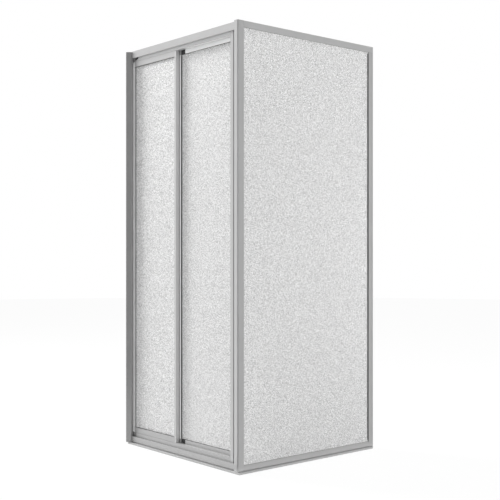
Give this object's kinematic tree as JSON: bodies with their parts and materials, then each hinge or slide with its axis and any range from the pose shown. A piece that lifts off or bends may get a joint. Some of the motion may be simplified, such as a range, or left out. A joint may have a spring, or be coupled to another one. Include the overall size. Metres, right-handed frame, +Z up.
{
  "type": "corner shower enclosure",
  "caption": "Square corner shower enclosure in satin aluminium with textured glass: a fixed side panel, and a door front whose leaf slides behind a fixed pane.",
  "frame": {"origin": "centre of the enclosure's square plan, on the shower tray's surface", "axes": "+Z up; the door front faces -Y and the side panel faces +X, so the walls that it is fixed to stand at -X and at +Y"},
  "size_m": [0.823, 0.823, 1.85],
  "materials": {
    "satin_aluminium": "satin anodised, silver grey",
    "textured_glass": "colourless safety glass with a fine grained texture",
    "dark_rubber": "matte",
    "black_nylon": "moulded, fine matte",
    "grey_nylon": "moulded, smooth",
    "grey_plastic": "extruded, fine matte",
    "stainless_steel": "plain",
    "brush_pile": "dense short pile"
  },
  "bodies": {
    "fixed_frame": {"corner_post": "satin_aluminium", "corner_post_cap": "grey_plastic", "side_top_rail": "satin_aluminium", "side_bottom_rail": "satin_aluminium", "side_wall_stile": "satin_aluminium", "side_wall_channel": "satin_aluminium", "side_glass": "textured_glass", "side_gasket": "dark_rubber", "door_wall_profile": "satin_aluminium", "door_wall_jamb": "satin_aluminium", "door_corner_jamb": "satin_aluminium", "header_track": "satin_aluminium", "sill_track": "satin_aluminium", "header_cover_strip": "satin_aluminium", "sill_cover_strip": "satin_aluminium", "door_base_strip": "satin_aluminium", "side_base_strip": "satin_aluminium", "fixed_top_rail": "satin_aluminium", "fixed_bottom_rail": "satin_aluminium", "fixed_centre_stile": "satin_aluminium", "fixed_glass": "textured_glass", "fixed_gasket": "dark_rubber", "overlap_brush": "brush_pile", "closing_seal": "grey_plastic", "top_buffer": "dark_rubber", "bottom_buffer": "dark_rubber", "side_channel_screw_low": "stainless_steel", "side_channel_screw_middle": "stainless_steel", "side_channel_screw_high": "stainless_steel", "door_profile_screw_low": "stainless_steel", "door_profile_screw_middle": "stainless_steel", "door_profile_screw_high": "stainless_steel", "nose_screw_top": "stainless_steel", "nose_screw_bottom": "stainless_steel"},
    "sliding_leaf": {"leaf_front_stile": "satin_aluminium", "leaf_rear_stile": "satin_aluminium", "leaf_top_rail": "satin_aluminium", "leaf_bottom_rail": "satin_aluminium", "leaf_glass": "textured_glass", "leaf_gasket": "dark_rubber", "leaf_magnet_strip": "grey_plastic", "top_carrier_front": "black_nylon", "top_carrier_rear": "black_nylon", "bottom_carrier_front": "black_nylon", "bottom_carrier_rear": "black_nylon", "top_axle_front": "stainless_steel", "top_axle_rear": "stainless_steel", "bottom_axle_front": "stainless_steel", "bottom_axle_rear": "stainless_steel"},
    "top_roller_front": {"top_roller_front": "grey_nylon"},
    "top_roller_rear": {"top_roller_rear": "grey_nylon"},
    "bottom_roller_front": {"bottom_roller_front": "grey_nylon"},
    "bottom_roller_rear": {"bottom_roller_rear": "grey_nylon"}
  },
  "joints": [
    {"name": "leaf_slide", "type": "slide", "parent": "fixed_frame", "child": "sliding_leaf", "axis": [-1, 0, 0], "range_m": [0, 0.33]},
    {"name": "top_roller_spin_front", "type": "hinge", "parent": "sliding_leaf", "child": "top_roller_front", "pos_m": [0.3201, -0.345, 1.8185], "axis": [0, -1, 0], "range_deg": [0, 2110]},
    {"name": "top_roller_spin_rear", "type": "hinge", "parent": "sliding_leaf", "child": "top_roller_rear", "pos_m": [-0.0305, -0.345, 1.8185], "axis": [0, -1, 0], "range_deg": [0, 2110]},
    {"name": "bottom_roller_spin_front", "type": "hinge", "parent": "sliding_leaf", "child": "bottom_roller_front", "pos_m": [0.3201, -0.345, 0.0443], "axis": [0, -1, 0], "range_deg": [0, 3060]},
    {"name": "bottom_roller_spin_rear", "type": "hinge", "parent": "sliding_leaf", "child": "bottom_roller_rear", "pos_m": [-0.0305, -0.345, 0.0443], "axis": [0, -1, 0], "range_deg": [0, 3060]}
  ],
  "couplings": [
    {"joint": "top_roller_spin_front", "follows": "leaf_slide", "rad_per_m": 111.11},
    {"joint": "top_roller_spin_rear", "follows": "leaf_slide", "rad_per_m": 111.11},
    {"joint": "bottom_roller_spin_front", "follows": "leaf_slide", "rad_per_m": 161.29},
    {"joint": "bottom_roller_spin_rear", "follows": "leaf_slide", "rad_per_m": 161.29}
  ]
}
